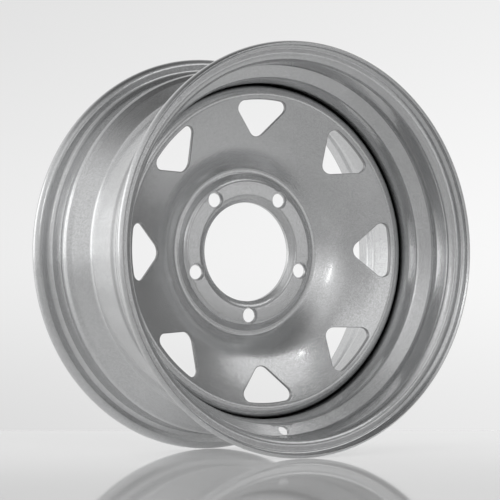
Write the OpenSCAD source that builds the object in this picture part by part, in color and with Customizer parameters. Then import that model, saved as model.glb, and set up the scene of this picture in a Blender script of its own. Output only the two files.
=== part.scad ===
// Steel road wheel: a rolled rim with a pressed disc welded into its drop well.
// The wheel stands upright with its axle line along Y and its outboard face towards -Y.
// The origin is on the axle line, halfway between the two flanges.
// Sections are drawn as [radius, outboard], where outboard is the distance from the
// rim's middle plane towards the street side, and are then revolved.

/* [Rim] */
// Diameter of the bead seats at the foot of the flanges
seat_d = 405.6; // [390:0.1:420]
// Width between the tyre faces of the two flanges
rim_w = 177.8; // [165:0.1:192]
// Thickness of the rolled rim sheet
rim_t = 3.2; // [2.5:0.1:4]
// Height of the flanges over the bead seats
flange_h = 17.2; // [15.5:0.1:19]

/* [Flanges] */
// Radius of the curled lip on its tyre face
curl_r = 8; // [6.5:0.1:9]
// Angle that the lip is curled through
curl_turn = 135; // [110:1:145]
// Straight length at the end of the curled lip
lip_end = 0.6; // [0.2:0.1:1.5]
// Radius of the corner between bead seat and flange
heel_r = 6; // [4.5:0.1:7]

/* [Bead seats] */
// Slope of the bead seats
seat_slope = 5; // [3:0.5:7]
// Width of a bead seat from the flange to the hump
seat_w = 20.5; // [18:0.1:23]
// Width of a safety hump
hump_w = 13.6; // [12:0.1:14.5]
// Height of a safety hump
hump_h = 1.4; // [0.8:0.1:1.8]
// Width of the flat top of a safety hump
hump_top_w = 5; // [4:0.1:6]
// Bend radius of the humps
hump_r = 4; // [3.4:0.1:4.4]

/* [Drop well] */
// Depth of the drop well under the bead seats
well_depth = 18; // [16.5:0.1:19.5]
// Width of the outboard wall, from the hump to its foot
wall_w = 8.4; // [7.5:0.1:10]
// Width of the ramp from the foot of the outboard wall to the well's floor
ramp_w = 16.4; // [13:0.1:19]
// Height of the foot of the outboard wall over the well's floor
foot_h = 3.2; // [2:0.1:4.5]
// Bend radius at the foot of the outboard wall
foot_r = 2.5; // [1.5:0.1:3.5]
// Slope of the inboard wall, up to its crease
rear_wall_slope = 30; // [28:1:34]
// Width of the inboard wall from the hump to its crease
rear_top_w = 4; // [3.6:0.1:5]
// Height of the crease in the inboard wall over the well's floor
rear_crease_h = 12; // [9:0.1:13]
// Bend radius of the crease in the inboard wall
rear_crease_r = 5; // [3.5:0.5:7]
// Bend radius at the ends of the well's floor
well_r = 9; // [7:0.5:12]

/* [Valve hole] */
// Diameter of the valve hole
valve_d = 11.5; // [8:0.1:13]
// Place of the valve hole along the outboard wall, from its foot to the hump
valve_place = 0.5; // [0.45:0.01:0.55]

/* [Disc] */
// Thickness of the pressed disc
disc_t = 4.5; // [3.8:0.1:5]
// Distance of the mounting face inboard of the middle plane
inset = 20; // [14:0.5:24]
// Clearance of the disc's flange in the drop well, on the radius
disc_fit = 0.1; // [0.05:0.05:0.2]
// Width of the disc's flange that is seated in the drop well
flange_w = 29.2; // [24:0.1:33]
// Distance of the seated flange's outboard end from the middle plane
flange_out = 15.2; // [12:0.1:17]
// Radius of the rounded shoulder between crown and flange
shoulder_r = 11; // [8:0.5:13]
// Slope of the crown that carries the vents
crown_slope = 20; // [17:0.5:22]
// Slope of the dish between the hub land and the crown
dish_slope = 42; // [38:0.5:46]
// Bend radius between dish and crown
dish_r = 45; // [30:1:52]

/* [Hub] */
// Diameter of the hub bore
bore_d = 108.5; // [100:0.1:112]
// Pitch circle diameter of the lug holes
lug_pcd = 139.7; // [134:0.1:144]
// Number of lug holes
lug_n = 5; // [4:1:6]
// Diameter of a lug hole
lug_d = 15; // [12:0.1:16]
// Diameter of a cone seat at the face of the bolt ring
cone_d = 18.6; // [17:0.1:20]
// Included angle of the cone seats
cone_angle = 60; // [60:1:90]
// Width of the flat bolt ring
ring_w = 15.1; // [13:0.1:16]
// Height of the bolt ring over the hub land
ring_h = 5.4; // [4:0.1:6.5]
// Width of the slope between bolt ring and hub land
ring_slope_w = 9; // [8:0.1:10.5]
// Slope of the bolt ring towards the bore
bore_slope = 23; // [18:0.5:26]
// Width of the hub land that seats on the hub
land_w = 6.2; // [5.5:0.1:8]
// Bend radius of the bolt ring's edges
ring_r = 5.2; // [5.1:0.1:7]
// Bend radius beside the hub land
land_r = 2.5; // [1.5:0.1:4]

/* [Vents] */
// Number of vents
vent_n = 8; // [6:1:8]
// Length of a vent, along the radius
vent_l = 39.2; // [33:0.1:40]
// Distance of the vents from the disc's outside
vent_edge = 17; // [15.5:0.1:18.5]
// Angle between a vent's two sides
vent_angle = 86; // [72:1:88]
// Radius of a vent's inner corner
vent_tip_r = 11.1; // [9:0.1:12]
// Radius of a vent's outer corners
vent_corner_r = 7.6; // [6:0.1:8.5]

/* [Welds] */
// Number of weld beads between disc and rim
weld_n = 8; // [4:1:10]
// Angle that one weld bead spans
weld_span = 26; // [15:1:30]
// Leg of the weld beads
weld_leg = 4; // [3:0.1:4.4]
// Clearance between a weld bead and the metal that it joins
weld_fit = 0.05; // [0.02:0.01:0.1]

/* [Hidden] */
$fn = 180;
// Steps of the bends, in degrees
bend_step = 9;
// Overlap of a cutter past the metal that it cuts
past = 1;

seat_r = seat_d / 2;
flange_face = rim_w / 2;
flange_r = seat_r + flange_h;
well_r_out = seat_r - well_depth;
well_r_in = well_r_out - rim_t;
seat_drop = seat_w * tan(seat_slope);
hump_side_w = (hump_w - hump_top_w) / 2;

disc_r = well_r_in - disc_fit;
land_face = disc_t - inset;
ring_face = land_face + ring_h;
ring_in = (lug_pcd - ring_w) / 2;
ring_out = (lug_pcd + ring_w) / 2;
land_in = ring_out + ring_slope_w;
land_out = land_in + land_w;
path_start_r = bore_d / 2 - disc_t;
crown_corner = flange_out + shoulder_r * tan(45 + crown_slope / 2);
dish_corner_r = (crown_corner - land_face - disc_r * tan(crown_slope) + land_out * tan(dish_slope))
    / (tan(dish_slope) - tan(crown_slope));
dish_corner = land_face + (dish_corner_r - land_out) * tan(dish_slope);
flange_end = flange_out - flange_w;

vent_out_r = disc_r - vent_edge;
vent_in_r = vent_out_r - vent_l;

// Sheet sections: a sheet follows corner points and bends, and lies to the right of them
function left_of(v) = [-v[1], v[0]];
function unit(v) = v / norm(v);
function swing(v, a) = [v[0] * cos(a) - v[1] * sin(a), v[0] * sin(a) + v[1] * cos(a)];
function turn_of(a, b) = atan2(a[0] * b[1] - a[1] * b[0], a * b);

// Points and normals round one bend, where the sheet turns from direction a to b
function bend(corner, a, b, radius) =
    let (turn = turn_of(a, b),
         from = corner - a * radius * tan(abs(turn) / 2),
         arm = -left_of(a) * radius * sign(turn),
         steps = max(1, ceil(abs(turn) / bend_step)))
    [for (k = [0 : steps])
        [from - arm + swing(arm, turn * k / steps), swing(left_of(a), turn * k / steps)]];

// Points and normals along a whole sheet, given as a list of [corner, bend radius]
function sheet(path) =
    let (last = len(path) - 1,
         run = [for (i = [1 : last]) unit(path[i][0] - path[i - 1][0])])
    concat([[path[0][0], left_of(run[0])]],
           [for (i = [1 : last - 1]) each bend(path[i][0], run[i - 1], run[i], path[i][1])],
           [[path[last][0], left_of(run[last - 1])]]);

module sheet_section(path, thickness) {
    points = sheet(path);
    count = len(points);
    polygon(concat([for (p = points) p[0]],
                   [for (k = [count - 1 : -1 : 0]) points[k][0] - points[k][1] * thickness]));
}

// Turns what is drawn flat, with the street side up, into the upright wheel
module upright() {
    rotate([90, 0, 0]) children();
}

// Corners of a flange, bead seat and hump, from the curled lip to the hump's far foot
curl_reach = curl_r * tan(curl_turn / 2);
curl_corner = [flange_r - curl_r + curl_reach, flange_face];
lip_tip = curl_corner + (curl_reach + lip_end) * [cos(curl_turn), sin(curl_turn)];
hump_foot = [seat_r - seat_drop, flange_face - seat_w];
hump_rise = [hump_h, -hump_side_w];
wall_top = hump_foot - [0, hump_w];
edge_path = [
    [lip_tip, 0],
    [curl_corner, curl_r],
    [[seat_r, flange_face], heel_r],
    [hump_foot, hump_r],
    [hump_foot + hump_rise, hump_r],
    [hump_foot + hump_rise - [0, hump_top_w], hump_r],
    [wall_top, hump_r],
];

// Corners of the drop well's walls
wall_foot = [well_r_out + foot_h, wall_top[1] - wall_w];
floor_out = [well_r_out, wall_foot[1] - ramp_w];
rear_crease = [well_r_out + rear_crease_h, rear_top_w - wall_top[1]];
floor_in = [well_r_out, rear_crease[1] + rear_crease_h / tan(rear_wall_slope)];

function mirrored(path) = [for (k = [len(path) - 1 : -1 : 0]) [[path[k][0][0], -path[k][0][1]], path[k][1]]];

rim_path = concat(
    edge_path,
    [[wall_foot, foot_r], [floor_out, well_r]],
    [[floor_in, well_r], [rear_crease, rear_crease_r]],
    mirrored(edge_path));

// The disc's front face, from the bore to the end of the seated flange
disc_path = [
    [[path_start_r, ring_face - (ring_in - path_start_r) * tan(bore_slope)], 0],
    [[ring_in, ring_face], ring_r],
    [[ring_out, ring_face], ring_r],
    [[land_in, land_face], land_r],
    [[land_out, land_face], land_r],
    [[dish_corner_r, dish_corner], dish_r],
    [[disc_r, crown_corner], shoulder_r],
    [[disc_r, flange_end], 0],
];

// The valve hole stands square to the outboard wall, at the bottom of the wheel
wall_run = unit(wall_top - wall_foot);
valve_spot = wall_foot + (wall_top - wall_foot) * valve_place;
valve_tilt = atan2(wall_run[0], wall_run[1]);
valve_reach = 4 * rim_t;

module valve_cutter() {
    translate([0, -valve_spot[0], valve_spot[1]])
        rotate([valve_tilt - 90, 0, 0])
            cylinder(d = valve_d, h = 2 * valve_reach, center = true);
}

module rim() {
    color("silver")
        upright()
            difference() {
                rotate_extrude() sheet_section(rim_path, rim_t);
                valve_cutter();
            }
}

// A vent seen along the axle line, with its tip towards the hub and its outer edge round the axle
half_angle = vent_angle / 2;
tip_centre = vent_in_r + vent_tip_r;
corner_ring = vent_out_r - vent_corner_r;
// The outer corners lie on the line that keeps their arcs touching the vent's sides
side_gap = vent_tip_r - vent_corner_r;
side_foot = [side_gap * cos(half_angle), tip_centre - side_gap * sin(half_angle)];
side_run = [sin(half_angle), cos(half_angle)];
side_along = side_foot * side_run;
side_length = sqrt(side_along * side_along + corner_ring * corner_ring - side_foot * side_foot) - side_along;
corner_centre = side_foot + side_run * side_length;
corner_turn = atan2(corner_centre[0], corner_centre[1]);
vent_steps = 8;

function arc(centre, radius, from, to) =
    [for (k = [0 : vent_steps])
        let (a = from + (to - from) * k / vent_steps)
        centre + radius * [sin(a), cos(a)]];

module vent_outline() {
    right_corner = arc(corner_centre, vent_corner_r, corner_turn, 90 + half_angle);
    tip = arc([0, tip_centre], vent_tip_r, 90 + half_angle, 270 - half_angle);
    left_centre = [-corner_centre[0], corner_centre[1]];
    left_corner = arc(left_centre, vent_corner_r, 270 - half_angle, 360 - corner_turn);
    outer_edge = arc([0, 0], vent_out_r, -corner_turn, corner_turn);
    inner_part = [for (k = [1 : vent_steps - 1]) outer_edge[k]];
    polygon(concat(right_corner, tip, left_corner, inner_part));
}

// Everything that is cut out of the disc runs along the axle line
cut_low = -inset - past;
cut_high = crown_corner + past;

module vent_cutters() {
    for (k = [0 : vent_n - 1])
        rotate(360 / vent_n * k)
            translate([0, 0, cut_low])
                linear_extrude(cut_high - cut_low) vent_outline();
}

// A lug hole, with its cone seat opening to the bolt ring's face
cone_depth = (cone_d - lug_d) / 2 / tan(cone_angle / 2);
module lug_cutter() {
    translate([0, 0, cut_low])
        cylinder(d = lug_d, h = cut_high - cut_low);
    translate([0, 0, ring_face - cone_depth])
        cylinder(d1 = lug_d, d2 = cone_d + 2 * past * tan(cone_angle / 2), h = cone_depth + past);
}

module hub_cutters() {
    translate([0, 0, cut_low])
        cylinder(d = bore_d, h = cut_high - cut_low);
    for (k = [0 : lug_n - 1])
        rotate(360 / lug_n * k)
            translate([0, -lug_pcd / 2, 0]) lug_cutter();
}

module disc() {
    color("silver")
        upright()
            difference() {
                rotate_extrude() sheet_section(disc_path, disc_t);
                vent_cutters();
                hub_cutters();
            }
}

// Fillet weld beads in the corner between the disc's flange end and the drop well
weld_base = flange_end - weld_fit;
weld_wall = well_r_in - weld_fit;

module disc_weld() {
    color("darkgray")
        upright()
            for (k = [0 : weld_n - 1])
                rotate(360 / weld_n * k - 90 - weld_span / 2)
                    rotate_extrude(angle = weld_span)
                        polygon([[weld_wall, weld_base], [weld_wall - weld_leg, weld_base],
                                 [weld_wall, weld_base - weld_leg]]);
}

rim();
disc();
disc_weld();
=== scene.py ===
# %% [markdown]
# # A steel wheel rim
# The wheel's solids come from a CAD model, which is loaded first and never changed. This
# lesson gives the wheel its looks. The two sheet-metal pieces are made again with finer
# bends and soft edges, the weld beads get their ripples, and everything gets one coat of
# silver metallic paint. A glossy pale floor and soft lamps finish the picture.

# %% Load the solids
import math

import bmesh
import bpy
from mathutils import Matrix, Vector
from mathutils.bvhtree import BVHTree


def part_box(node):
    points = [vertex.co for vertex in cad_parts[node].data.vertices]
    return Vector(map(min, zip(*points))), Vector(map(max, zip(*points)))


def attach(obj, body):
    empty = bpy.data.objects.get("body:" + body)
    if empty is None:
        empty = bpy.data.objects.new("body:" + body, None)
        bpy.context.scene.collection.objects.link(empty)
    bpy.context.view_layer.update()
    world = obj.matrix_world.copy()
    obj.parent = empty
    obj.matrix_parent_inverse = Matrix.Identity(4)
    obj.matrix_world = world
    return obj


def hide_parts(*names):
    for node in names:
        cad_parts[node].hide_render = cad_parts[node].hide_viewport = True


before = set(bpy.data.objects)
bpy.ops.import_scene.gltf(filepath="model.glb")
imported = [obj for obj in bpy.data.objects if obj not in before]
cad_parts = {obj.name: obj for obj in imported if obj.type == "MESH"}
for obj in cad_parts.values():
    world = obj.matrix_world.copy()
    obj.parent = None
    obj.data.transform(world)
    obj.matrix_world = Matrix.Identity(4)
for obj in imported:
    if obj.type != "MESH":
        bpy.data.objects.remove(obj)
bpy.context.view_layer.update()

MM = 0.001
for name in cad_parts:
    low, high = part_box(name)
    print(name, "measures", [round((b - a) / MM, 1) for a, b in zip(low, high)], "mm")

# %% [markdown]
# ## Folding sheet metal
# Rim and disc are both sheet steel, so each has a section of straight runs that are joined
# by round bends. A section could be typed in as points, but it is easier to read as a list
# of corners with a bend radius each, which is how a drawing gives it. A helper walks that
# list: it extrudes a vertex for a straight run and spins it for a bend. Corners are given
# in millimetres as (radius, outboard), where outboard counts towards the street side, -Y.

# %% Walk along a section
TURN = 1.5          # degrees between the lines round the wheel
BEND = 7.5          # degrees between the lines along a bend


def at(corner):
    """A corner of a section, drawn beside the axle line."""
    return Vector((corner[0], -corner[1], 0)) * MM


def run_to(bm, tip, place):
    """A straight run from the tip to a place."""
    end = bmesh.ops.extrude_vert_indiv(bm, verts=[tip])["verts"][0]
    end.co = place
    return end


def swing(bm, tip, centre, axis, angle, steps):
    """A round bend from the tip about a centre."""
    spun = bmesh.ops.spin(bm, geom=[tip], cent=centre, axis=axis, angle=angle, steps=steps)
    return spun["geom_last"][0]


def fold(bm, path):
    """One face of the sheet, as a chain of edges. Gives back its two ends."""
    places = [at(corner) for corner, _ in path]
    start = tip = bm.verts.new(places[0])
    for before, corner, after, (_, radius) in zip(places, places[1:], places[2:], path[1:]):
        way_in, way_out = (corner - before).normalized(), (after - corner).normalized()
        turn, sense = way_in.angle(way_out), math.copysign(1, way_in.cross(way_out).z)
        reach = radius * MM * math.tan(turn / 2)
        tip = run_to(bm, tip, corner - way_in * reach)
        centre = tip.co + Vector((-way_in.y, way_in.x, 0)) * sense * radius * MM
        steps = max(2, math.ceil(math.degrees(turn) / BEND))
        tip = swing(bm, tip, centre, (0, 0, 1), sense * turn, steps)
    return start, run_to(bm, tip, places[-1])


def other_face(path, thickness):
    """The corners and bends of the sheet's other face, to the right of the path."""
    corners = [Vector(corner) for corner, _ in path]
    ways = [(b - a).normalized() for a, b in zip(corners, corners[1:])]
    sides = [Vector((way.y, -way.x)) * thickness for way in ways]
    moved = [(corners[0] + sides[0], 0)]
    for k in range(1, len(path) - 1):
        a, b = sides[k - 1], sides[k]
        shift = (a + b) / (1 + a.dot(b) / thickness ** 2)
        radius = path[k][1] + math.copysign(thickness, ways[k - 1].cross(ways[k]))
        moved.append((corners[k] + shift, radius))
    return moved + [(corners[-1] + sides[-1], 0)]


# %% [markdown]
# ## The rim's section
# The rim is one strip, rolled into a hoop: a curled lip, a flange, a bead seat with its
# safety hump, the drop well in the middle, and the same again on the other side. The sizes
# are those of the CAD model, so the finer piece lies where the solid does.

# %% Corners of the rim
RIM_T = 3.2
SEAT_R, FLANGE_FACE, FLANGE_R, WELL_R = 202.8, 88.9, 220.0, 184.8
CURL_BEND, LIP_RUN, SEAT_W, SEAT_CONE = 8, 0.6, 20.5, 5
curl_reach = CURL_BEND * math.tan(math.radians(67.5))
curl = Vector((FLANGE_R - CURL_BEND + curl_reach, FLANGE_FACE))
lip = curl + (curl_reach + LIP_RUN) * Vector((-1, 1)).normalized()
hump = Vector((SEAT_R - SEAT_W * math.tan(math.radians(SEAT_CONE)), FLANGE_FACE - SEAT_W))
wall_top = hump - Vector((0, 13.6))
wall_foot = Vector((WELL_R + 3.2, wall_top.y - 8.4))
crease = Vector((WELL_R + 12, 4 - wall_top.y))

edge_path = [
    (lip, 0),
    (curl, CURL_BEND),
    (Vector((SEAT_R, FLANGE_FACE)), 6),
    (hump, 4),
    (hump + Vector((1.4, -4.3)), 4),
    (hump + Vector((1.4, -9.3)), 4),
    (wall_top, 4),
]
well_path = [
    (wall_foot, 2.5),
    (Vector((WELL_R, wall_foot.y - 16.4)), 9),
    (Vector((WELL_R, crease.y + 12 / math.tan(math.radians(30)))), 9),
    (crease, 5),
]
far_path = [(Vector((corner.x, -corner.y)), radius) for corner, radius in reversed(edge_path)]
rim_path = edge_path + well_path + far_path
print("the rim's strip has", len(rim_path), "corners")

# %% [markdown]
# ## From section to hoop
# A closed section is spun once round the axle line. Long runs are cut up first, so that no
# face is much longer than it is wide: even faces shade evenly in a satin paint.

# %% Close a section and spin it
LONGEST = 6.0 * MM


def close_section(bm, path, back_path):
    """Both faces of the sheet and its two cut edges."""
    near, far = fold(bm, path), fold(bm, back_path)
    for a, b in zip(near, far):
        bm.edges.new((a, b))
    return near, far


def spin_round(bm):
    """Spins the section about the axle line into a closed ring."""
    bmesh.ops.remove_doubles(bm, verts=bm.verts, dist=1e-6)
    for edge in [e for e in bm.edges if e.calc_length() > LONGEST]:
        cuts = math.ceil(edge.calc_length() / LONGEST) - 1
        bmesh.ops.subdivide_edges(bm, edges=[edge], cuts=cuts)
    section = bm.verts[:] + bm.edges[:]
    bmesh.ops.spin(bm, geom=section, cent=(0, 0, 0), axis=(0, 1, 0), angle=math.tau,
                   steps=round(360 / TURN), use_merge=True)
    bmesh.ops.remove_doubles(bm, verts=bm.verts, dist=1e-6)
    bmesh.ops.recalc_face_normals(bm, faces=bm.faces)


rim_mesh = bmesh.new()
close_section(rim_mesh, rim_path, other_face(rim_path, RIM_T))
spin_round(rim_mesh)
print("the plain rim has", len(rim_mesh.faces), "faces")

# %% [markdown]
# ## Punching holes
# A Boolean would cut the holes in one go, but it leaves ragged faces round each hole that
# shade badly and can't be rounded. Here a patch of faces is taken out, the hole's outline
# is laid in the gap, and the two loops are bridged, so the new faces run round the hole.
# A ray along the punch then sets every new vertex back on the pressed surface.

# %% Swap a patch of faces for a patch with a hole
RUN_UP = 30 * MM     # how far back a ray starts


def settle(verts, tree, way):
    """Moves vertices along the punch until they lie on the plain surface."""
    for vert in verts:
        vert.co = tree.ray_cast(vert.co - way * RUN_UP, way)[0]


def turned_to(place):
    """The angle round the axle line of a place, counted from +Z towards +X."""
    return math.atan2(place.x, place.z)


def patch(bm, angle, half_width, inner, outer, way):
    """Faces round the place of a hole that look against the punch."""
    def near(face):
        middle = face.calc_center_median()
        off = (turned_to(middle) - angle + math.pi) % math.tau - math.pi
        if abs(off) > half_width or face.normal.dot(way) > -0.2:
            return False
        return inner < math.hypot(middle.x, middle.z) / MM < outer
    return [face for face in bm.faces if near(face)]


def punch(bm, tree, faces, way, outline, rings=4):
    """Puts an outline into the patch. Gives back the outline's edges."""
    inside = set(faces)
    edges = {edge for face in faces for edge in face.edges}
    border = [e for e in edges if sum(face in inside for face in e.link_faces) == 1]
    bmesh.ops.delete(bm, geom=faces, context="FACES_KEEP_BOUNDARY")
    verts, loop = outline(bm, len(border))
    settle(verts, tree, way)
    bridged = bmesh.ops.bridge_loops(bm, edges=border + loop)
    cut = bmesh.ops.subdivide_edges(bm, edges=bridged["edges"], cuts=rings, use_grid_fill=True)
    settle([v for v in cut["geom_inner"] if isinstance(v, bmesh.types.BMVert)], tree, way)
    return loop


def chain_from(vert):
    """All vertices and edges of the chain that a vertex lies on."""
    verts, edges = [vert], []
    for here in verts:
        for edge in here.link_edges:
            if edge not in edges:
                edges.append(edge)
                far = edge.other_vert(here)
                verts += [far] if far not in verts else []
    return verts, edges


def circle(bm, segments, radius, matrix):
    """A round outline."""
    verts = bmesh.ops.create_circle(bm, segments=segments, radius=radius, matrix=matrix)["verts"]
    return verts, list({edge for vert in verts for edge in vert.link_edges})


def soften(bm, edges, width):
    """Rounds a punched edge. Gives back the faces of the round."""
    made = bmesh.ops.bevel(bm, geom=edges, offset=width, offset_type="OFFSET", segments=3,
                           profile=0.5, affect="EDGES", clamp_overlap=True, material=-1)
    return made["faces"]


# %% [markdown]
# ## The valve hole
# The tyre's valve is pushed through a round hole in the outboard wall of the drop well. The
# hole stands square to that sloping wall, straight below the axle.

# %% Punch the valve hole
VALVE_R, VALVE_ROUND = 5.75, 0.4
VALVE_PATCH = math.radians(4.6), 182, 204     # half width, inner and outer radius
VALVE_FRONT, VALVE_BACK = -56.5 * MM, -45 * MM
wall_way = (wall_top - wall_foot).normalized()
valve_way = Vector((0, wall_way.x, -wall_way.y))
wall_middle = (wall_top + wall_foot) / 2
valve_place = Vector((0, -wall_middle.y, -wall_middle.x)) * MM
valve_turn = Vector((0, 0, 1)).rotation_difference(valve_way).to_matrix().to_4x4()
valve_matrix = Matrix.Translation(valve_place) @ valve_turn
rim_tree = BVHTree.FromBMesh(rim_mesh)


def valve_outline(bm, segments):
    return circle(bm, segments, VALVE_R * MM, valve_matrix)


valve_loops = []
for way in (valve_way, -valve_way):
    wall = patch(rim_mesh, math.pi, *VALVE_PATCH, way)
    wall = [f for f in wall if VALVE_FRONT < f.calc_center_median().y < VALVE_BACK]
    valve_loops.append(punch(rim_mesh, rim_tree, wall, way, valve_outline, rings=2))
bmesh.ops.bridge_loops(rim_mesh, edges=valve_loops[0] + valve_loops[1])
soften(rim_mesh, valve_loops[0] + valve_loops[1], VALVE_ROUND * MM)
print("the valve hole is", 2 * VALVE_R, "mm across")

# %% [markdown]
# ## The disc
# The disc is a deep pressing. Seen from the bore outwards it has a sloped lip, a raised
# flat ring for the wheel nuts, a narrow groove, the dish, the crown with the vents, a
# round shoulder and a flange that sits inside the drop well. The front has rounder bends
# and a deeper groove than the back, so the two faces are drawn from a path each.

# %% Fold and spin the disc
DISC_T, DISC_R, BORE_R, LIP_R, LIP_SLOPE = 4.5, 181.5, 54.25, 60.5, 33
LAND, RING, GROOVE, FLANGE_END = -15.5, -10.1, -16.8, -14.0
SHOULDER, SHOULDER_BEND, CROWN_BEND = 15.2, 11, 300
crown_corner = SHOULDER + SHOULDER_BEND * math.tan(math.radians(55))
crown_mid = (148.0, 19.4)
crown_rise = math.tan(math.radians(23.5))


def disc_corners(ring_end, foot, rise, dish_bend, lip_bend, ring_bend, foot_bend):
    """The disc's corners from the bore outwards: lip, nut ring, groove, dish, crown, flange."""
    slope, (foot_r, depth) = math.tan(math.radians(rise)), foot[1]
    crown_foot = crown_mid[1] - crown_mid[0] * crown_rise
    dish_r = (crown_foot - depth + foot_r * slope) / (slope - crown_rise)
    return [
        ((BORE_R, RING - (LIP_R - BORE_R) * math.tan(math.radians(LIP_SLOPE))), 0),
        ((LIP_R, RING), lip_bend),
        ((ring_end, RING), ring_bend),
        (foot[0], foot_bend),
        (foot[1], foot_bend),
        ((dish_r, depth + (dish_r - foot_r) * slope), dish_bend),
        (crown_mid, CROWN_BEND),
        ((DISC_R, crown_corner), SHOULDER_BEND),
        ((DISC_R, FLANGE_END), 0),
    ]


front_path = disc_corners(ring_end=80.0, foot=[(86.7, GROOVE), (91.2, GROOVE)], rise=45,
                          dish_bend=70, lip_bend=11, ring_bend=8, foot_bend=3)
plain_path = disc_corners(ring_end=77.4, foot=[(86.4, LAND), (92.6, LAND)], rise=42,
                          dish_bend=45, lip_bend=11, ring_bend=5.2, foot_bend=2.5)
disc_mesh = bmesh.new()
_, (bore_edge, _) = close_section(disc_mesh, front_path, other_face(plain_path, DISC_T))

# The back of the lip is cut off in line with the bore.
next_vert = max((e.other_vert(bore_edge) for e in bore_edge.link_edges), key=lambda v: v.co.x)
lip_run = next_vert.co - bore_edge.co
bore_edge.co += lip_run * ((BORE_R * MM - bore_edge.co.x) / lip_run.x)
spin_round(disc_mesh)
disc_tree = BVHTree.FromBMesh(disc_mesh)
print("the plain disc has", len(disc_mesh.faces), "faces")

# %% [markdown]
# ## The vents
# Eight rounded triangles let air through to the brake. One outline is drawn by walking
# round it: corner, side, tip, side, corner and the outer edge, which follows the wheel.
# The punch moves along the axle line, so the front and back outlines are the same. The
# attribute "cut" marks the sheared walls and their rounds, which the paint darkens as painted
# shade.

# %% Draw and punch the vents
IN, OUT = Vector((0, 1, 0)), Vector((0, -1, 0))
VENTS, TIP_R, CORNER_R, VENT_IN, VENT_OUT = 8, 11.1, 7.6, 125.3, 164.5
VENT_PATCH, VENT_ROUND = (math.radians(13.5), 119, 168.4), 1.0
HALF = math.radians(43)
tip_centre = Vector((0, VENT_IN + TIP_R))
side_way = Vector((math.sin(HALF), math.cos(HALF)))
side_foot = tip_centre + (TIP_R - CORNER_R) * Vector((math.cos(HALF), -math.sin(HALF)))
along = side_foot.dot(side_way)
reach = math.sqrt(along ** 2 + (VENT_OUT - CORNER_R) ** 2 - side_foot.length_squared) - along
corner_centre = side_foot + side_way * reach
corner_turn = math.atan2(corner_centre.x, corner_centre.y)


def vent_outline(angle):
    """A function that draws one vent with a given number of edges."""
    def spot(centre, radius, turn):
        x, z = centre[0] + radius * math.sin(turn), centre[1] + radius * math.cos(turn)
        return Vector((x, 0, z)) * MM

    def draw(bm, segments):
        corner_steps, tip_steps, edge_steps = 10, 8, 12
        side_steps = (segments - 2 * corner_steps - tip_steps - edge_steps) // 2
        left_centre = Vector((-corner_centre.x, corner_centre.y))
        arcs = [
            (corner_centre, corner_turn, math.pi / 2 + HALF, corner_steps),
            (tip_centre, math.pi / 2 + HALF, 1.5 * math.pi - HALF, tip_steps),
            (left_centre, 1.5 * math.pi - HALF, math.tau - corner_turn, corner_steps),
            ((0, 0), -corner_turn, corner_turn, edge_steps),
        ]
        radii = [CORNER_R, TIP_R, CORNER_R, VENT_OUT]
        first = tip = bm.verts.new(spot(corner_centre, CORNER_R, corner_turn))
        for k, ((centre, start, end, steps), radius) in enumerate(zip(arcs, radii)):
            if k in (1, 2):
                side = spot(centre, radius, start) - tip.co
                for _ in range(side_steps):
                    tip = run_to(bm, tip, tip.co + side / side_steps)
            middle = Vector((centre[0], 0, centre[1])) * MM
            tip = swing(bm, tip, middle, (0, 1, 0), end - start, steps)
        bmesh.ops.weld_verts(bm, targetmap={tip: first})
        verts, edges = chain_from(first)
        bmesh.ops.rotate(bm, verts=verts, cent=(0, 0, 0), matrix=Matrix.Rotation(angle, 3, "Y"))
        return verts, edges

    return draw


cut = disc_mesh.faces.layers.float.new("cut")
for k in range(VENTS):
    angle = math.tau * k / VENTS
    loops = []
    for way in (IN, OUT):
        faces = patch(disc_mesh, angle, *VENT_PATCH, way)
        loops.append(punch(disc_mesh, disc_tree, faces, way, vent_outline(angle)))
    # Marks for painted shade: full on the sheared wall, 0.7 on its rounds.
    for face in bmesh.ops.bridge_loops(disc_mesh, edges=loops[0] + loops[1])["faces"]:
        face[cut] = 1.0
    for face in soften(disc_mesh, loops[0] + loops[1], VENT_ROUND * MM):
        face[cut] = 0.7
print("punched", VENTS, "vents,", round(2 * corner_centre.x + 2 * CORNER_R, 1), "mm wide")

# %% [markdown]
# ## The lug holes
# Five wheel studs come through the flat ring. Each hole opens in a cone towards the front,
# where the tapered nut seats, so its outline is wider in front than behind.

# %% Punch the lug holes
LUGS, LUG_RING, LUG_R, CONE_R, CONE_ROUND = 5, 69.85, 7.5, 9.3, 0.3
LUG_PATCH = math.radians(10.5), 57.5, 81.5
cone_depth = (CONE_R - LUG_R) / math.tan(math.radians(30))
flat = Matrix.Rotation(math.radians(90), 4, "X")


def lug_outline(place, radius):
    """A function that draws one lug hole with a given number of edges."""
    def draw(bm, segments):
        return circle(bm, segments, radius * MM, Matrix.Translation(place) @ flat)
    return draw


for k in range(LUGS):
    angle = math.pi + math.tau * k / LUGS
    place = Vector((math.sin(angle), 0, math.cos(angle))) * LUG_RING * MM
    loops = []
    for way, radius in ((IN, CONE_R), (OUT, LUG_R)):
        faces = patch(disc_mesh, angle, *LUG_PATCH, way)
        outline = lug_outline(place, radius)
        loops.append(punch(disc_mesh, disc_tree, faces, way, outline, rings=3))
    foot = place + Vector((0, cone_depth - RING, 0)) * MM
    _, throat = lug_outline(foot, LUG_R)(disc_mesh, len(loops[1]))
    bmesh.ops.bridge_loops(disc_mesh, edges=loops[0] + throat)
    bmesh.ops.bridge_loops(disc_mesh, edges=throat + loops[1])
    soften(disc_mesh, loops[0], CONE_ROUND * MM)
print("punched", LUGS, "lug holes on a circle of", 2 * LUG_RING, "mm")

# %% [markdown]
# ## Soft edges on the cut ends
# Sheared steel is never knife sharp, and paint rounds it further. The lips of the rim, the
# edge of the bore and the end of the disc's flange get a small round.

# %% Round what is still sharp
SHARP, NEAR = 50, 6                  # degrees, mm
LIP_ROUND, DISC_ROUND = 0.9, 0.6


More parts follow.
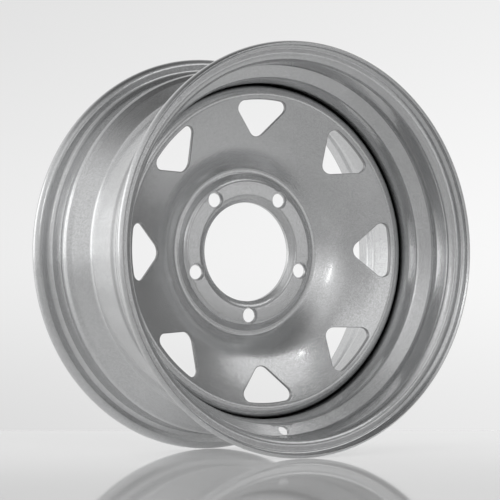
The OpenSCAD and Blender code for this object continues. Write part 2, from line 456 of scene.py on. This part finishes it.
def sharp_rings(bm, limit):
    """Edges that run round the axle line between two faces at a steep angle."""
    def runs_round(edge):
        way = (edge.verts[0].co - edge.verts[1].co).normalized()
        middle = (edge.verts[0].co + edge.verts[1].co) / 2
        return abs(way.y) < 0.05 and abs(way.dot(middle.normalized())) < 0.05
    steep = [e for e in bm.edges if e.is_manifold and e.calc_face_angle() > math.radians(limit)]
    return [edge for edge in steep if runs_round(edge)]


def cut_ends(bm, places):
    """The sharp rings that lie at one of the given (radius, outboard) places."""
    def on(edge):
        v = edge.verts[0].co / MM
        return any(math.hypot(math.hypot(v.x, v.z) - r, -v.y - o) < NEAR for r, o in places)
    return [edge for edge in sharp_rings(bm, SHARP) if on(edge)]


lip_edges = cut_ends(rim_mesh, [lip, (lip.x, -lip.y)])
soften(rim_mesh, lip_edges, LIP_ROUND * MM)
disc_edges = cut_ends(disc_mesh, [(BORE_R, -16), (DISC_R - 2, FLANGE_END)])
soften(disc_mesh, disc_edges, DISC_ROUND * MM)
print("rounded", len(lip_edges), "edges on the rim and", len(disc_edges), "on the disc")

# %% [markdown]
# ## The weld beads
# Eight short fillet welds join the end of the disc's flange to the drop well. A bead is
# spun from a small convex section, and each of its rings swells and shrinks a little, as
# the puddle of a hand-run weld does. It tapers at both ends.

# %% Lay the weld beads
WELDS, SPAN, LEG, ROOT_R, ROOT_Y = 8, 26.0, 4.0, 181.55, 14.05
RIPPLES, CREST, CREST_ROUND = 13, 0.57 * LEG, 1.6
weld_step = 360 / WELDS
weld_mesh = bmesh.new()
for k in range(WELDS):
    corners = [
        (ROOT_R, -ROOT_Y),
        (ROOT_R - LEG, -ROOT_Y),
        (ROOT_R - CREST, -ROOT_Y - CREST),
        (ROOT_R, -ROOT_Y - LEG),
    ]
    section = [weld_mesh.verts.new(at(corner)) for corner in corners]
    weld_mesh.faces.new(section)
    bmesh.ops.bevel(weld_mesh, geom=[section[2]], offset=CREST_ROUND * MM, offset_type="OFFSET",
                    segments=4, profile=0.5, affect="VERTICES", clamp_overlap=True, material=-1)
    weld_mesh.faces.ensure_lookup_table()
    face = weld_mesh.faces[-1]
    start = Matrix.Rotation(math.radians(weld_step * k - SPAN / 2), 3, "Y")
    bmesh.ops.rotate(weld_mesh, verts=list(face.verts), cent=(0, 0, 0), matrix=start)
    bmesh.ops.spin(weld_mesh, geom=[face], cent=(0, 0, 0), axis=(0, 1, 0),
                   angle=math.radians(SPAN), steps=6 * RIPPLES)
bmesh.ops.recalc_face_normals(weld_mesh, faces=weld_mesh.faces)
for vert in weld_mesh.verts:
    turn = math.degrees(turned_to(vert.co))
    along = ((turn + SPAN / 2 + 0.01) % weld_step - 0.01) / SPAN
    taper = min(1, 0.35 + 6 * min(along, 1 - along))
    swell = taper * (0.93 + 0.07 * math.cos(math.tau * RIPPLES * along))
    spoke = Vector((vert.co.x, 0, vert.co.z)).normalized()
    root = (spoke * ROOT_R + Vector((0, ROOT_Y, 0))) * MM
    vert.co = root + (vert.co - root) * swell
print("laid", WELDS, "weld beads of", SPAN, "degrees")

# %% [markdown]
# ## Paint nodes written as maths
# A shader is a small network of nodes. Written as Python it is easier to read: one class
# wraps a socket, its operators add Math nodes, and one method adds any other node.

# %% A socket that can be added and multiplied
class Shade:
    """One output of a shader node."""

    def __init__(self, tree, socket=None):
        self.tree, self.socket = tree, socket

    def add(self, kind, settings=None, sockets=None, out=0):
        """Any node: its settings are set first, then its sockets get values or links."""
        node = self.tree.nodes.new(kind)
        for key, value in (settings or {}).items():
            setattr(node, key, value)
        for key, value in (sockets or {}).items():
            if isinstance(value, Shade):
                self.tree.links.new(value.socket, node.inputs[key])
            else:
                node.inputs[key].default_value = value
        return Shade(self.tree, node.outputs[out] if node.outputs else None)

    def maths(self, operation, a, b):
        return self.add("ShaderNodeMath", {"operation": operation}, {0: a, 1: b})

    def __add__(self, other):
        return self.maths("ADD", self, other)

    def __sub__(self, other):
        return self.maths("SUBTRACT", self, other)

    def __rsub__(self, other):
        return self.maths("SUBTRACT", other, self)

    def __mul__(self, other):
        return self.maths("MULTIPLY", self, other)

    __radd__, __rmul__ = __add__, __mul__

    def blend(self, a, b):
        """A colour between a and b, with this value as the share of b."""
        settings = {"data_type": "RGBA", "blend_type": "MIX"}
        return self.add("ShaderNodeMix", settings, {0: self, 6: a, 7: b}, out=2)

    def move(self, operation, a, b, out=0):
        """A sum or other step on vectors."""
        return self.add("ShaderNodeVectorMath", {"operation": operation}, {0: a, 1: b}, out)

    def along(self, way):
        """How far this vector reaches along a fixed way."""
        return self.move("DOT_PRODUCT", self, tuple(way), out=1)

    def fade(self, low, high, a=0.0, b=1.0):
        """From a to b as this value goes from low to high, smoothly."""
        sockets = {0: self, 1: low, 2: high, 3: a, 4: b}
        return self.add("ShaderNodeMapRange", {"interpolation_type": "SMOOTHSTEP"}, sockets)


# %% [markdown]
# ## Silver metallic paint
# Metallic paint is a clear binder full of tiny aluminium flakes. Each flake lies at a
# slightly different tilt, so up close the surface glitters, and from afar it looks like
# satin metal. Small cells stand for the flakes: each cell tips the normal and shifts the
# grey a little. A faint larger mottling and the soft waves of sprayed paint come on top.
# The narrow seam between disc and rim and the sheared walls of the vents get painted shade:
# the colour turns nearly black in the seam and darker on the walls.

# %% Mix the paint
SEAM_R, SEAM_OUT = DISC_R, 17.5
FLAKES, MOTTLES, DROPS = 1250.0, 60.0, 420.0     # per metre
# WALL_SHADE is how much painted shade darkens the vents' sheared walls.
FLAKE_TILT, WALL_SHADE = 0.04, 0.6


def grey(value, tint=0.0):
    """A grey with a slight cool tint."""
    return (value * (1 - tint), value, value * (1 + tint), 1)


def blank_material(name):
    """A material with no nodes yet, and a Shade that adds them."""
    material = bpy.data.materials.new(name)
    material.use_nodes = True
    material.node_tree.nodes.clear()
    return material, Shade(material.node_tree)


def silver_paint():
    paint, shade = blank_material("silver_paint")
    place = shade.add("ShaderNodeTexCoord", out=3)
    cells = {"Vector": place, "Scale": FLAKES}
    flakes = shade.add("ShaderNodeTexVoronoi", {"feature": "F1"}, cells, out=1)
    flake_grey = shade.add("ShaderNodeSeparateColor", sockets={0: flakes})
    clouds = {"Vector": place, "Scale": MOTTLES, "Detail": 4.0}
    mottle = shade.add("ShaderNodeTexNoise", sockets=clouds)
    mist = {"Vector": place, "Scale": DROPS, "Detail": 2.0}
    spray = shade.add("ShaderNodeTexNoise", sockets=mist)
    share = flake_grey * 0.7 + mottle * 0.3
    silver = share.blend(grey(0.45, 0.008), grey(0.64, 0.008))

    # Painted shade in the seam between disc and rim: the colour fades to nearly black there, and
    # the coat with it.
    radius = shade.move("LENGTH", shade.move("MULTIPLY", place, (1, 0, 1)), (0, 0, 0), out=1)
    outward = place.along((0, -1, 0))
    from_seam = shade.add("ShaderNodeCombineXYZ", sockets={
        0: radius - SEAM_R * MM,
        1: (outward - SEAM_OUT * MM) * 0.6,
    })
    unshaded = shade.move("LENGTH", from_seam, (0, 0, 0), out=1).fade(0.8 * MM, 5.2 * MM)
    # Painted shade on the vents' sheared walls: the "cut" mark darkens their colour.
    sheared = shade.add("ShaderNodeAttribute", {"attribute_name": "cut"}, out=2)
    unshaded = unshaded * (1 - sheared * WALL_SHADE)

    tilt = shade.move("SUBTRACT", flakes, (0.5, 0.5, 0.5))
    tilt = shade.move("MULTIPLY", tilt, (FLAKE_TILT, FLAKE_TILT, FLAKE_TILT))
    bumps = {"Strength": 0.10, "Distance": 0.4 * MM, "Height": spray}
    waves = shade.add("ShaderNodeBump", sockets=bumps)
    normal = shade.move("NORMALIZE", shade.move("ADD", waves, tilt), (0, 0, 0))
    # Where the painted shade is full, the base colour is nearly black.
    surface = shade.add("ShaderNodeBsdfPrincipled", sockets={
        "Base Color": unshaded.blend(grey(0.02), silver),
        "Metallic": 0.9,
        "Roughness": 0.21 + mottle * 0.06,
        "Normal": normal,
        "Coat Weight": unshaded,
        "Coat Roughness": 0.08,
    })
    shade.add("ShaderNodeOutputMaterial", sockets={"Surface": surface})
    return paint


paint = silver_paint()
print("mixed", paint.name, "with", len(paint.node_tree.nodes), "nodes")

# %% [markdown]
# ## Finished pieces
# Each mesh becomes an object that rides on the wheel's one body and stands for its solid.
# A weighted-normal modifier keeps flat faces flat beside the narrow rounds.

# %% Turn the meshes into pieces
def finish_piece(name, bm, node):
    mesh = bpy.data.meshes.new(name)
    bm.to_mesh(mesh)
    bm.free()
    mesh.shade_smooth()
    mesh.materials.append(paint)
    piece = bpy.data.objects.new(name, mesh)
    bpy.context.scene.collection.objects.link(piece)
    piece.modifiers.new("flat faces stay flat", "WEIGHTED_NORMAL")
    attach(piece, "root")
    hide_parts(node)
    mesh.calc_loop_triangles()
    print(name, "has", len(mesh.loop_triangles), "triangles")
    return piece


finish_piece("painted_rim", rim_mesh, "rim")
finish_piece("painted_disc", disc_mesh, "disc")
finish_piece("painted_welds", weld_mesh, "disc_weld")

# %% [markdown]
# ## Camera
# The camera stands about 2.3 m away, a little below the axle, with a long lens. The set is
# turned a touch about the axle, because the wheel in the picture had rolled by that much.

# %% Place the camera
ROLL = Matrix.Rotation(math.radians(1.3), 4, "Y")
DISTANCE, SHIFT_LEFT, SHIFT_UP, PIXELS_FOCAL = 2.2802, 0.00434, 0.00156, 2085.2
azimuth, elevation = math.radians(-31.661), math.radians(-1.794)
level = math.cos(elevation)
back = Vector((math.sin(azimuth) * level, -math.cos(azimuth) * level, math.sin(elevation)))
right = Vector((math.cos(azimuth), math.sin(azimuth), 0))
up = back.cross(right)
view = Matrix((right, up, back)).transposed().to_4x4()
view.translation = back * DISTANCE - right * SHIFT_LEFT + up * SHIFT_UP

lens = bpy.data.cameras.new("camera")
lens.sensor_width = 36
lens.lens = PIXELS_FOCAL * lens.sensor_width / 500
lens.clip_end = 100
camera = bpy.data.objects.new("camera", lens)
camera.matrix_world = ROLL @ view
bpy.context.scene.collection.objects.link(camera)
bpy.context.scene.camera = camera
camera_place = [round(v, 3) for v in camera.matrix_world.translation]
print("camera at", camera_place, "with a lens of", round(lens.lens, 1), "mm")

# %% [markdown]
# ## Floor
# The wheel stands on a pale glossy sheet. At the low angle of this camera such a sheet
# mirrors strongly, while from above it looks matt: Fresnel sets the share of the mirror.
# The sheet also glows, more towards its far end: painted light for the backdrop's light
# shining through it. Its colour is a little darker towards the camera, as painted shade.
# The sheet ends a little behind the wheel, where the picture shows a faint edge.

# %% Lay the floor
FLOOR_Z = -FLANGE_R * MM - 0.0002
HALF_SHEET, BEHIND = 2.5, 0.45


def floor_material():
    pale, shade = blank_material("pale_floor")
    away = shade.add("ShaderNodeTexCoord", out=3).along(ROLL.to_3x3() @ -back)
    # Painted light and shade: the colour darkens towards the camera, and the sheet glows more
    # towards its far end.
    body = shade.add("ShaderNodeBsdfPrincipled", sockets={
        "Base Color": away.fade(-0.70, 0.0, 0.74, 0.85),
        "Roughness": 1.0,
        "Specular IOR Level": 0.0,
        "Emission Color": away.fade(-0.50, 0.15, 0.06, 0.26),
        "Emission Strength": 1.0,
    })
    gloss = shade.add("ShaderNodeBsdfGlossy", sockets={"Color": grey(0.95), "Roughness": 0.04})
    mirror = shade.add("ShaderNodeFresnel", sockets={"IOR": 1.45}) * 0.86
    top = shade.add("ShaderNodeMixShader", sockets={0: mirror, 1: body, 2: gloss})
    shade.add("ShaderNodeOutputMaterial", sockets={"Surface": top})
    return pale


sheet = bmesh.new()
sheet_place = Matrix.Translation((0, BEHIND - HALF_SHEET, FLOOR_Z))
bmesh.ops.create_grid(sheet, x_segments=4, y_segments=4, size=HALF_SHEET,
                      matrix=ROLL @ Matrix.Rotation(azimuth, 4, "Z") @ sheet_place)
floor_mesh = bpy.data.meshes.new("floor")
sheet.to_mesh(floor_mesh)
sheet.free()
floor_mesh.materials.append(floor_material())
floor = bpy.data.objects.new("floor", floor_mesh)
bpy.context.scene.collection.objects.link(floor)
print("floor at", round(FLOOR_Z, 4), "m")

# %% [markdown]
# ## Studio walls
# Satin metal shows the room more than its own colour, so the room matters as much as the
# paint. The world is that room: brighter on the left, darker overhead and behind the
# camera, and with a pale backdrop behind the wheel that is lightest towards the right.

# %% Shade the room
SET_TURN = ROLL.to_3x3()


def way_to(turn, rise):
    """A way from the wheel, in degrees: turn from the street side towards +X, and rise."""
    a, e = math.radians(turn), math.radians(rise)
    return SET_TURN @ Vector((math.sin(a) * math.cos(e), -math.cos(a) * math.cos(e), math.sin(e)))


world = bpy.data.worlds.new("studio")
bpy.context.scene.world = world
world.use_nodes = True
world.node_tree.nodes.clear()
shade = Shade(world.node_tree)
way = shade.add("ShaderNodeTexCoord", out=0)
height = way.along(way_to(0, 90))
ceiling = height.fade(0.60, 1.12, 1.0, 0.0)
high_left = way.along(way_to(-35, 28)).fade(0.86, 1.0, 0.0, 0.32)
dim = way.along(SET_TURN @ back).fade(0.95, 0.995, 0.0, 0.10)
walls = ceiling * (way.along(way_to(-120, 0)) * 0.42 + 0.63) + high_left - dim
rise, sink = height.fade(-0.07, 0.03, 0.0, 0.128), height.fade(0.03, 0.18, 0.0, 0.09)
backdrop = way.along(SET_TURN @ right) * 0.40 + 0.765 + rise - sink
behind = way.along(SET_TURN @ -back).fade(0.86, 0.97)
light = walls + behind * (backdrop - walls)
room = shade.add("ShaderNodeBackground", sockets={"Color": light, "Strength": 1.0})
shade.add("ShaderNodeOutputWorld", sockets={"Surface": room})
print("the room has", len(world.node_tree.nodes), "nodes")

# %% [markdown]
# ## Soft boxes
# Large dim boxes lift whole sides of the wheel, and small bright ones draw the short
# streaks along the bends of the dish. A box is placed by the way to it, and its glow is
# how bright it looks beside the walls, whatever its size.

# %% Hang the soft boxes
BOX_FAR = 2.5


def soft_box(name, turn, rise, width, height, glow):
    """A rectangular area lamp that looks at the wheel."""
    light = bpy.data.lights.new(name, "AREA")
    light.shape = "RECTANGLE"
    light.size, light.size_y = width, height
    light.energy = glow * math.pi * width * height
    lamp = bpy.data.objects.new(name, light)
    look = (-way_to(turn, rise)).to_track_quat("-Z", "Y").to_matrix().to_4x4()
    lamp.matrix_world = Matrix.Translation(way_to(turn, rise) * BOX_FAR) @ look
    bpy.context.scene.collection.objects.link(lamp)
    print(name, "draws", round(light.energy, 2), "W")


soft_box("left_rear_box", -130, 13, 1.4, 1.3, 1.00)
soft_box("rear_strip", -156, 11, 0.20, 0.30, 0.90)
soft_box("left_strip", -47, 18, 0.07, 0.60, 8.0)
soft_box("front_box", 5, 13, 0.62, 1.1, 0.80)
soft_box("high_box", 40, 38, 1.4, 0.76, 0.95)
soft_box("high_spot", 18, 37, 0.13, 0.13, 9.0)
soft_box("low_box", 31, 4, 0.80, 0.45, 0.78)

# %% [markdown]
# ## Last settings
# Colours go to the picture as they are.

# %% Finish
bpy.context.scene.view_settings.view_transform = "Standard"
